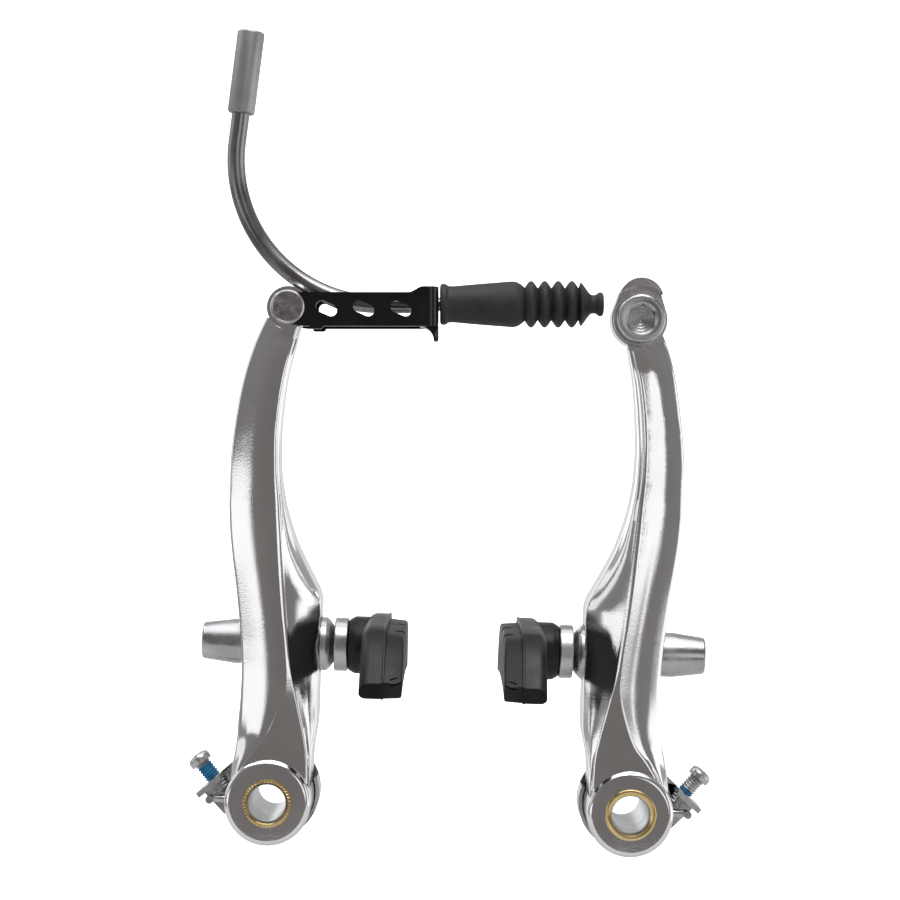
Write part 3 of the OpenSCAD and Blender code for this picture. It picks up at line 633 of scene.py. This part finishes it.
def linkHook():
    end, top, low = link["length"], link["bottom"] + 0.3, link["bottom"] - link["hook"]
    back, wide, high = link["hookBow"]
    hook = [(end, top), (end, low + 0.5), (end - 0.2, low + 0.12), (end - 0.6, low), (end - 1.0, low + 0.15)]
    hook += [(end - back + wide * cos(a), low + 0.4 + high * sin(a)) for a in quarter(9)]
    return prism("tool", hook + [(end - back, top)], -3, 3, onCheek)


def buildLink():
    rings = [[atLink(c, d, linkBottom(c)), atLink(c, d, linkTop(c)), atLink(e, f, linkTop(e)),
              atLink(e, f, linkBottom(e))] for c, d, e, f in linkStations()]
    obj = ringSkin("cableLink", rings, smoothAngle=30)
    for x in link["slots"]:
        cut(obj, linkSlot(x))
    cut(obj, rod("tool", arm["rivetHole"], atLink(0, -9, 0), atLink(0, 9, 0)))
    end, r = link["length"], noodle["tip"] + 0.3
    bow = [pi + pi * k / 16 for k in range(17)]
    keyhole = [(r * cos(a), noodle["height"] + r * sin(a)) for a in bow] + [(r, 8), (-r, 8)]
    cut(obj, prism("tool", keyhole, end - 3, end + 2, lambda u, v, d: atLink(d, u, v)))
    cut(obj, linkHook(), "UNION")
    # a small tab under each cheek
    tab = rounded([(x, link["bottom"] + z) for x, z in link["strap"]], [0, 0.5, 0.5, 0], 3)
    low, high = link["inside"] + 0.02, link["inside"] + link["sheet"] - 0.02
    cut(obj, prism("tool", tab, -high, -low, onCheek), "UNION")
    cut(obj, prism("tool", tab, low, high, onCheek), "UNION")
    tidyNormals(obj, 30)
    evenFaces(obj)
    bevelled(obj, 0.16, 2, 40)
    applied(obj)
    weighed(obj)
    finish(obj, "cable_link", "link", blackPaint)


rivet = {"head": 3.5, "shank": 2.5, "rim": 3.8, "thick": 1.4, "dish": 0.16}


def buildRivet():
    y0 = link["inside"] + link["sheet"]
    y1, face = y0 + rivet["thick"], y0 + rivet["thick"] - rivet["dish"]
    head, shank, rim = rivet["head"], rivet["shank"], rivet["rim"]
    profile = [(0, -y0 - 0.9), (head - 0.4, -y0 - 0.9), (head - 0.1, -y0 - 0.6), (head, -y0 - 0.05),
               (shank, -y0 - 0.05), (shank, y0 + 0.05), (rim - 0.05, y0 + 0.05), (rim, y0 + 0.15),
               (rim, y1 - 0.45), (rim - 0.08, y1 - 0.25), (rim - 0.35, y1), (rim - 0.45, y1),
               (rim - 0.6, face), (0, face)]
    obj = turned("linkRivet", profile, atLink(0, 0, 0), (0, -1, 0), 96, 25)
    finish(obj, "link_rivet", "left_lever", zinc)
    obj.data.materials.append(rivetFace)
    for f in obj.data.polygons:
        if abs(f.center.y / mm - rivetAt.y + face) < 0.02:
            f.material_index = 1


buildLink()
buildRivet()
print("link, noodle and boot made")

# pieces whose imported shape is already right: node, name, body, finish, slot, width of the broken edges
plain = [("cable_clamp_washer", "clampWasher", "anchor", zinc, "zinc", 0.2)]
for s in sides:
    plain += [(s + "_pivot_sleeve", s + "PivotSleeve", "bosses", zinc, "zinc", 0.12),
              (s + "_spring_cup", s + "SpringCup", "bosses", zinc, "zinc", 0.15),
              (s + "_spring_catch", s + "SpringCatch", s + "_lever", zinc, "zinc", 0.15),
              (s + "_pad_nut", s + "PadNut", s + "_pad", zinc, "zinc", 0.18),
              (s + "_pad_post", s + "PadPost", s + "_pad", greySteel, "grey_steel", 0.15),
              (s + "_outer_washers", s + "OuterWashers", s + "_pad_clamp", zinc, "zinc", 0.15),
              (s + "_inner_washers", s + "InnerWashers", s + "_pad_clamp", zinc, "zinc", 0.15)]
for node, name, body, mat, slotName, width in plain:
    finish(fineCopy(node, name, width), node, body, mat)


# brass bushes: the left one has a knurled rim, the right one a rolled lip
bush = {"outer": 5.38, "inner": 4.73, "lip": 4.35, "back": 9.4, "face": 24.02, "front": 24.5, "lipBack": 23.8,
        "teeth": 44, "root": 4.92, "flange": 5.65}


def bushFace(which, out):
    face, front, flange = bush["face"] + 0.01, bush["front"], bush["flange"]
    if which == "left":
        return [(out, face), (out - 0.12, front - 0.08), (4.8, front), (4.6, front)]
    return [(flange, face), (flange, front - 0.35), (flange - 0.2, front - 0.1), (flange - 0.5, front),
            (flange - 0.7, front - 0.03), (4.6, front - 0.2)]


def buildBush(which):
    side = sides[which]
    count = bush["teeth"] * 4
    front, back, inner, lip = bush["front"], bush["back"], bush["inner"], bush["lip"]
    rings = []
    for k in range(count):
        q = 2 * pi * k / count
        out = bush["root"] if which == "left" and k % 4 > 1 else bush["outer"]
        profile = [(inner, back), (bush["outer"], back), (bush["outer"], bush["face"])] + bushFace(which, out)
        profile += [(lip, front - 0.3), (lip, bush["lipBack"]), (inner, bush["lipBack"])]
        rings.append([(side * bossX + r * cos(q), -d, r * sin(q)) for r, d in profile])
    obj = ringSkin(which + "PivotBush", rings, closed=True, smoothAngle=25)
    finish(obj, which + "_pivot_bush", which + "_lever", brass)


anchorBolt = {"depth": 20.42, "head": 5.3, "height": 3.4, "stem": 2.95, "tail": 9.4,
              "dish": (3.05, 3.62, 0.5), "socket": 3.25, "socketDeep": 2.3, "turnedRing": 0.7,
              "turnedStep": 0.32}


def buildAnchor():
    x, z = bossX - arm["eyeX"], arm["height"]
    b = anchorBolt
    depth, head, stem, tail = b["depth"], b["head"], b["stem"], b["tail"]
    top, face = depth + b["height"], depth + b["height"] - 0.1
    at, out = (x, 0, z), (0, -1, 0)
    profile = [(0, tail), (stem - 0.55, tail), (stem, tail + 0.5), (stem, depth), (head - 0.2, depth),
               (head, depth + 0.2)]
    profile += [(head - 0.6 * (1 - cos(a)), top - 0.7 + 0.7 * sin(a)) for a in quarter()]
    profile += [(3.9, top), (3.55, face), (0, face)]
    obj = turned("anchorBolt", profile, at, out, 128, 25)
    low, high, deep = b["dish"]
    dish = [(0, face - deep), (low, face - deep), (high, face + 0.02), (high, face + 1), (0, face + 1)]
    cut(obj, turned("tool", dish, at, out, 96))
    corners = [pi * (k / 3 + 0.14) for k in range(6)]
    hexagon = [(x + b["socket"] * cos(a), z + b["socket"] * sin(a)) for a in corners]
    floor = face - b["socketDeep"]
    cut(obj, prism("tool", hexagon, -(face + 0.5), -floor, lambda u, v, w: (u, w, v)))
    # the tool has left steps in the floor of the socket
    wide, rise = b["turnedRing"], b["turnedStep"]
    steps = [(0, floor - 1.3)]
    for k in range(4):
        r, y = wide * k, floor - 1.3 + rise * k
        steps += [(r + 0.15, y + 0.02), (r + wide - 0.06, y + rise - 0.1), (r + wide, y + rise)]
    steps += [(wide * 4, floor + 0.05), (0, floor + 0.05)]
    cut(obj, turned("tool", steps, at, out, 96))
    tidyNormals(obj, 25)
    finish(obj, "cable_anchor_bolt", "anchor", zinc)


screw = {"at": (-13.62, -6.8, 2.39), "lean": 50, "out": 4.5, "head": 2.6, "thick": 2.3, "cross": (0.35, 1.7),
         "patch": {"left": (-3.75, -0.3), "right": (-1.3, -0.3)}, "shank": 2.1}


def screwHead(under, axis):
    # a low dome with a cross slot
    r, thick = screw["head"], screw["thick"]
    edge = thick * 0.45
    dome = [(0, 0), (r - 0.15, 0), (r, 0.15), (r, edge)]
    angles = [radians(a) for a in range(12, 85, 12)]
    dome += [(r * cos(a) ** 0.6, edge + (thick - edge) * sin(a)) for a in angles]
    head = turned("tool", dome + [(0, thick)], under, -axis, 72, 30)
    across = Vector((0, 1, 0)).cross(axis)
    narrow, wide = screw["cross"]
    for u, v in ((narrow, wide), (wide, narrow)):
        slot = [(-u, -v), (u, -v), (u, v), (-u, v)]
        cut(head, prism("tool", slot, thick - 1, thick + 1,
                        lambda a, b, w: under - axis * w + across * a + Vector((0, b, 0))))
    return head


def buildTensionScrew(which):
    side = sides[which]
    obj = fineCopy(which + "_tension_screw", which + "TensionScrew", 0.05, 2)
    q = radians(screw["lean"])
    axis = Vector((-side * cos(q), 0, -sin(q)))
    at = Vector(armPlace(side, *screw["at"]))
    under = at - axis * screw["out"]
    cut(obj, rod("tool", 4, under, under - axis * 6))
    cut(obj, screwHead(under, axis), "UNION")
    tidyNormals(obj, 30)
    finish(obj, which + "_tension_screw", which + "_screw", zinc)
    # thread lock on the part of the thread just above the ear
    obj.data.materials.append(threadLock)
    low, high = screw["patch"][which]
    for f in obj.data.polygons:
        v = f.center / mm - at
        t = v.dot(axis)
        if low < t < high and (v - axis * t).length < screw["shank"]:
            f.material_index = 1


# pads: x runs from the arm to the rim, y along the rim and z up, from the post's own place
pad = {"half": 30.5, "rim": 300, "height": 13.8, "back": 16.3, "slab": 20.05, "seam": 25.3, "face": 29.2,
       "bevel": 1.3, "lower": 0.5, "step": 1.7, "hub": 6.45, "stations": 72,
       "hubProfile": [(-1.1, 0), (-0.75, 0.15), (-0.1, 1.3), (0, 1.7), (0, 7.2)],
       "postHole": [(3.02, -1), (3.02, 3.3), (5.05, 3.3), (5.05, 5.45)],
       "fall": [(0, 0), (17.5, 0), (20, -0.25), (24.1, -2.3), (27.1, -5.3), (29.3, -8.2), (30.5, -9.9)],
       "lift": [(0, 0), (30, 0), (30.5, 0.3)], "grooves": (-14, 0, 14), "slits": 3, "slitStep": 1.2}


def padPlace(side, x, y, z):
    return armPlace(side, x, arm["post"][0] + y, arm["post"][1] + z)


def padSag(y):
    # the pad follows the round rim
    return pad["rim"] - sqrt(pad["rim"] ** 2 - y * y)


def padStations(short):
    n = pad["stations"]
    half = pad["half"] - short
    ys = [half * sin(pi / 2 * (2 * k / n - 1)) for k in range(n + 1)]
    share = pad["half"] / half
    return [(y, smoothAt(abs(y) * share, pad["fall"]), smoothAt(abs(y) * share, pad["lift"])) for y in ys]


def buildPadBacking(which):
    side, half, slab, seam = sides[which], pad["height"] / 2, pad["slab"], pad["seam"]
    corners = [1.5, 0.9, 0.9, 0.15, 0.1, 0.08, 0.08, 0.1, 0.15]
    rings = []
    for y, fall, lift in padStations(0):
        top, low = half - pad["lower"] + fall - padSag(y), -half + lift - padSag(y)
        b = min(pad["bevel"], 0.45 * (top - low))
        # a thin raised bead runs along the seam
        shape = [(slab, low), (slab, top - b), (slab + b * 0.95, top), (seam - 0.5, top),
                 (seam - 0.35, top + 0.15), (seam - 0.02, top + 0.15), (seam - 0.02, low - 0.12),
                 (seam - 0.35, low - 0.12), (seam - 0.5, low)]
        rings.append([padPlace(side, x, y, z) for x, z in rounded(shape, corners, 4)])
    obj = ringSkin(which + "PadBacking", rings, smoothAngle=40)
    at, along, x0 = Vector(padPlace(side, 0, 0, 0)), Vector((-side, 0, 0)), pad["back"]
    hub = [(pad["hub"] + r, x0 + x) for r, x in pad["hubProfile"]]
    hub = [(0, hub[0][1])] + hub + [(0, hub[-1][1])]
    cut(obj, turned("tool", hub, at, along, 96), "UNION")
    hole = [(r, x0 + x) for r, x in pad["postHole"]]
    hole = [(0, hole[0][1])] + hole + [(0, hole[-1][1])]
    cut(obj, turned("tool", hole, at, along, 72))
    tidyNormals(obj, 35)
    finish(obj, which + "_pad_backing", which + "_pad", backRubber)


def cutGrooves(obj, side):
    for y in pad["grooves"]:
        a, b = padPlace(side, pad["face"] - 2, y - 0.9, -12), padPlace(side, pad["face"] + 1, y + 0.9, 12)
        cut(obj, block("tool", [min(p) for p in zip(a, b)], [max(p) for p in zip(a, b)]))


def cutSlits(obj, side):
    # short slanted slits in each end of the pad
    near, far = pad["face"] - 2.6, pad["face"] + 0.6
    for end in (-1, 1):
        y = end * (pad["half"] - 0.5)
        for k in range(pad["slits"]):
            z = -pad["slitStep"] * (k + 1) - padSag(pad["half"])
            slit = [(near, z - 0.55), (far, z + 0.35), (far, z + 0.72), (near, z - 0.22)]
            cut(obj, prism("tool", slit, y - 0.9, y + 0.9, lambda u, v, w: padPlace(side, u, w, v)))


def buildPadBlock(which):
    side, half, seam, face = sides[which], pad["height"] / 2, pad["seam"], pad["face"]
    rings = []
    for y, fall, lift in padStations(0.5):
        top, low = half - pad["step"] + fall * 0.86 - padSag(y), -half + lift * 0.8 - padSag(y)
        shape = [(seam, low), (seam, top), (face, top - 0.35), (face, low + 0.25)]
        rings.append([padPlace(side, x, y, z) for x, z in rounded(shape, [0.1, 0.1, 0.7, 0.6], 4)])
    obj = ringSkin(which + "PadBlock", rings, smoothAngle=40)
    cutGrooves(obj, side)
    cutSlits(obj, side)
    tidyNormals(obj, 35)
    finish(obj, which + "_pad_block", which + "_pad", padRubber)


buildAnchor()
for s in sides:
    buildBush(s)
    buildTensionScrew(s)
    buildPadBacking(s)
    buildPadBlock(s)
print("hardware and pads made")

# return springs: a coil round the boss, a long leg on the arm's catch and a short end in the cup's ear
spring = {"wire": 0.9, "coil": 6.6, "depth": -4.75, "rise": 1.9, "turns": 500, "catchRadius": 1.3,
          "count": 20,
          "end": [(-6.3, 0, -3.1), (-7.4, 0, -2.4), (-9.2, 0, -2.15), (-11.2, 0, -2.1), (-13.2, 0, -2.1),
                  (-14.0, -0.3, -2.1), (-14.3, -1.1, -2.1), (-14.3, -2.6, -2.1)]}


def springLine(side):
    cx, cz = arm["catchAt"]
    lean = cx + spring["catchRadius"] + spring["wire"] + 0.3
    y, r = spring["depth"], spring["coil"]
    pts = [(lean, y, cz + 1.5), (lean, y, cz), (lean, y, cz - 2)]
    pts += [(lean + (r - lean) * k / 12, y, cz - 2 - (cz - 6) * k / 12) for k in range(1, 12)]
    pts += [(r, y, 4), (r, y, 1.5)]
    for a in range(0, -spring["turns"] - 1, -10):
        pts.append((r * cos(radians(a)), y + a * spring["rise"] / 360, r * sin(radians(a))))
    last = pts[-1][1]
    pts += [(x, last + back, z) for x, back, z in spring["end"]]
    return [Vector(armPlace(side, *p)) for p in pts], armPlace(side, r, y, 8), armPlace(side, lean, y, cz - 4)


def buildSpring(which):
    pts, low, high = springLine(sides[which])
    turns = [2 * pi * k / spring["count"] for k in range(spring["count"])]
    rings = []
    up = None
    for i, p in enumerate(pts):
        d = (pts[min(i + 1, len(pts) - 1)] - pts[max(i - 1, 0)]).normalized()
        up = d.cross(Vector((0, 1, 0))) if up is None else up - d * up.dot(d)
        up.normalize()
        v = d.cross(up)
        rings.append([p + (up * cos(q) + v * sin(q)) * spring["wire"] for q in turns])
    obj = ringSkin(which + "ReturnSpring", rings, smoothAngle=60)
    finish(obj, which + "_return_spring", None, springWire)
    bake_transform(obj)


for which in sides:
    buildSpring(which)
print("springs made")

# the studio: a ramp runs from front to back, boxes are round soft lights (towards, edge, full, level) and
# cards lie low in front, each between four bearings in degrees and above two heights
studio = {"floor": -60, "reach": 250, "floorColor": (0.6, 0.6, 0.6), "glow": 1.2, "strength": 1.0,
          "ripple": 0.04, "seen": 1.2,
          "cards": ((-72, -62, -35, -27, -0.22, -0.18), (7, 10, 31, 37, -0.11, -0.07),
                    (52, 62, 115, 130, -0.7, -0.5)),
          "card": 1.1, "cardTop": (0.05, -0.01),
          "ramp": [(0.0, (0.16, 0.148, 0.144)), (0.1, (0.19, 0.18, 0.176)), (0.3, (0.21, 0.207, 0.205)),
                   (0.45, (0.28, 0.28, 0.28)), (0.7, (0.36, 0.36, 0.36)), (0.86, (0.46, 0.46, 0.46)),
                   (0.94, (0.62, 0.62, 0.62)), (1.0, (0.7, 0.7, 0.7))],
          "boxes": [((0.37, -0.93, 0.06), 0.965, 0.98, 0.9), ((0.0, -0.2, 0.98), 0.78, 0.9, 1.6),
                    ((0.98, -0.1, 0.0), 0.91, 0.95, 0.9), ((-0.95, 0.05, 0.3), 0.93, 0.96, 0.6),
                    ((-0.45, 0.88, 0.12), 0.93, 0.96, 0.7), ((0.6, 0.78, -0.1), 0.95, 0.97, 0.6)],
          "lights": [("topLight", (0.1, -0.4, 0.8), 0.35, 2.0), ("sideLight", (-0.6, 0.15, 0.75), 0.2, 1.0)]}


def mathNode(nt, kind, *values):
    node = nt.nodes.new("ShaderNodeMath")
    node.operation = kind
    for socket, value in zip(node.inputs, values):
        if isinstance(value, (int, float)):
            socket.default_value = value
        else:
            nt.links.new(value, socket)
    return node.outputs["Value"]


def spanNode(nt, value, low, high, top=1.0):
    span = nt.nodes.new("ShaderNodeMapRange")
    span.interpolation_type = "SMOOTHSTEP"
    span.inputs["From Min"].default_value, span.inputs["From Max"].default_value = low, high
    span.inputs["To Max"].default_value = top
    nt.links.new(value, span.inputs["Value"])
    return span.outputs["Result"]


def addStage():
    # a plain pale floor: the camera sees it white, and the polish finds a quiet grey in it
    r, low = studio["reach"], studio["floor"]
    floor = linkMesh("floor", [(-r, -r, low), (r, -r, low), (r, r, low), (-r, r, low)], [(0, 1, 2, 3)])
    mat = newMaterial("paleFloor", studio["floorColor"], 0, 0.9, specular=0.0)
    nt = mat.node_tree
    b = nt.nodes["Principled BSDF"]
    b.inputs["Emission Color"].default_value = (1, 1, 1, 1)
    seen = nt.nodes.new("ShaderNodeLightPath").outputs["Is Camera Ray"]
    nt.links.new(mathNode(nt, "MULTIPLY", seen, studio["glow"]), b.inputs["Emission Strength"])
    floor.data.materials.append(mat)


def vectorNode(nt, kind, a, b):
    node = nt.nodes.new("ShaderNodeVectorMath")
    node.operation = kind
    nt.links.new(a, node.inputs[0])
    nt.links.new(b, node.inputs[1])
    return node.outputs["Vector"]


def softBox(nt, direction, sway, towards, low, high, level):
    dot = nt.nodes.new("ShaderNodeVectorMath")
    dot.operation = "DOT_PRODUCT"
    dot.inputs[1].default_value = Vector(towards).normalized()
    nt.links.new(direction, dot.inputs[0])
    return spanNode(nt, mathNode(nt, "ADD", dot.outputs["Value"], sway), low, high, level)


def lowCard(nt, turn, height, start, startFull, endFull, end, low, full):
    wide = mathNode(nt, "MULTIPLY", spanNode(nt, turn, radians(start), radians(startFull)),
                    spanNode(nt, turn, radians(end), radians(endFull), studio["card"]))
    card = mathNode(nt, "MULTIPLY", wide, spanNode(nt, height, low, full))
    return mathNode(nt, "MULTIPLY", card, spanNode(nt, height, *studio["cardTop"]))


def addWorld():
    # a grey room with lights whose edges ripple as they do in worn polish; the camera itself sees plain white
    world = bpy.data.worlds.new("studio")
    bpy.context.scene.world = world
    world.use_nodes = True
    nt = world.node_tree
    bg = nt.nodes["Background"]
    direction = nt.nodes.new("ShaderNodeTexCoord").outputs["Generated"]
    sep = nt.nodes.new("ShaderNodeSeparateXYZ")
    noise = nt.nodes.new("ShaderNodeTexNoise")
    noise.inputs["Scale"].default_value = 5
    noise.inputs["Detail"].default_value = 4
    nt.links.new(direction, sep.inputs["Vector"])
    nt.links.new(direction, noise.inputs["Vector"])
    sway = mathNode(nt, "MULTIPLY_ADD", noise.outputs["Fac"], 2 * studio["ripple"], -studio["ripple"])
    ramp = nt.nodes.new("ShaderNodeValToRGB")
    stops = ramp.color_ramp.elements
    while len(stops) < len(studio["ramp"]):
        stops.new(0.5)
    for stop, (at, color) in zip(stops, studio["ramp"]):
        stop.position, stop.color = at, (*color, 1)
    depth = mathNode(nt, "MULTIPLY_ADD", sep.outputs["Y"], 0.5, 0.5)
    nt.links.new(mathNode(nt, "ADD", depth, sway), ramp.inputs["Fac"])
    total = ramp.outputs["Color"]
    for box in studio["boxes"]:
        total = vectorNode(nt, "ADD", total, softBox(nt, direction, sway, *box))
    turn = mathNode(nt, "ARCTAN2", sep.outputs["X"], mathNode(nt, "MULTIPLY", sep.outputs["Y"], -1.0))
    turn = mathNode(nt, "ADD", turn, sway)
    height = mathNode(nt, "ADD", sep.outputs["Z"], sway)
    for card in studio["cards"]:
        total = vectorNode(nt, "MAXIMUM", total, lowCard(nt, turn, height, *card))
    seen = nt.nodes.new("ShaderNodeLightPath").outputs["Is Camera Ray"]
    total = vectorNode(nt, "ADD", total, mathNode(nt, "MULTIPLY", seen, studio["seen"]))
    nt.links.new(total, bg.inputs["Color"])
    bg.inputs["Strength"].default_value = studio["strength"]


def addLight(name, at, size, power):
    light = bpy.data.lights.new(name, "AREA")
    light.shape, light.size, light.energy = "SQUARE", size, power
    obj = bpy.data.objects.new(name, light)
    obj.location = at
    obj.rotation_euler = (Vector((0, 0, 0.08)) - Vector(at)).to_track_quat("-Z", "Y").to_euler()
    bpy.context.scene.collection.objects.link(obj)


addStage()
addWorld()
for light in studio["lights"]:
    addLight(*light)
bpy.context.scene.view_settings.view_transform = "Standard"
print("floor and light set")

print("scene finished")
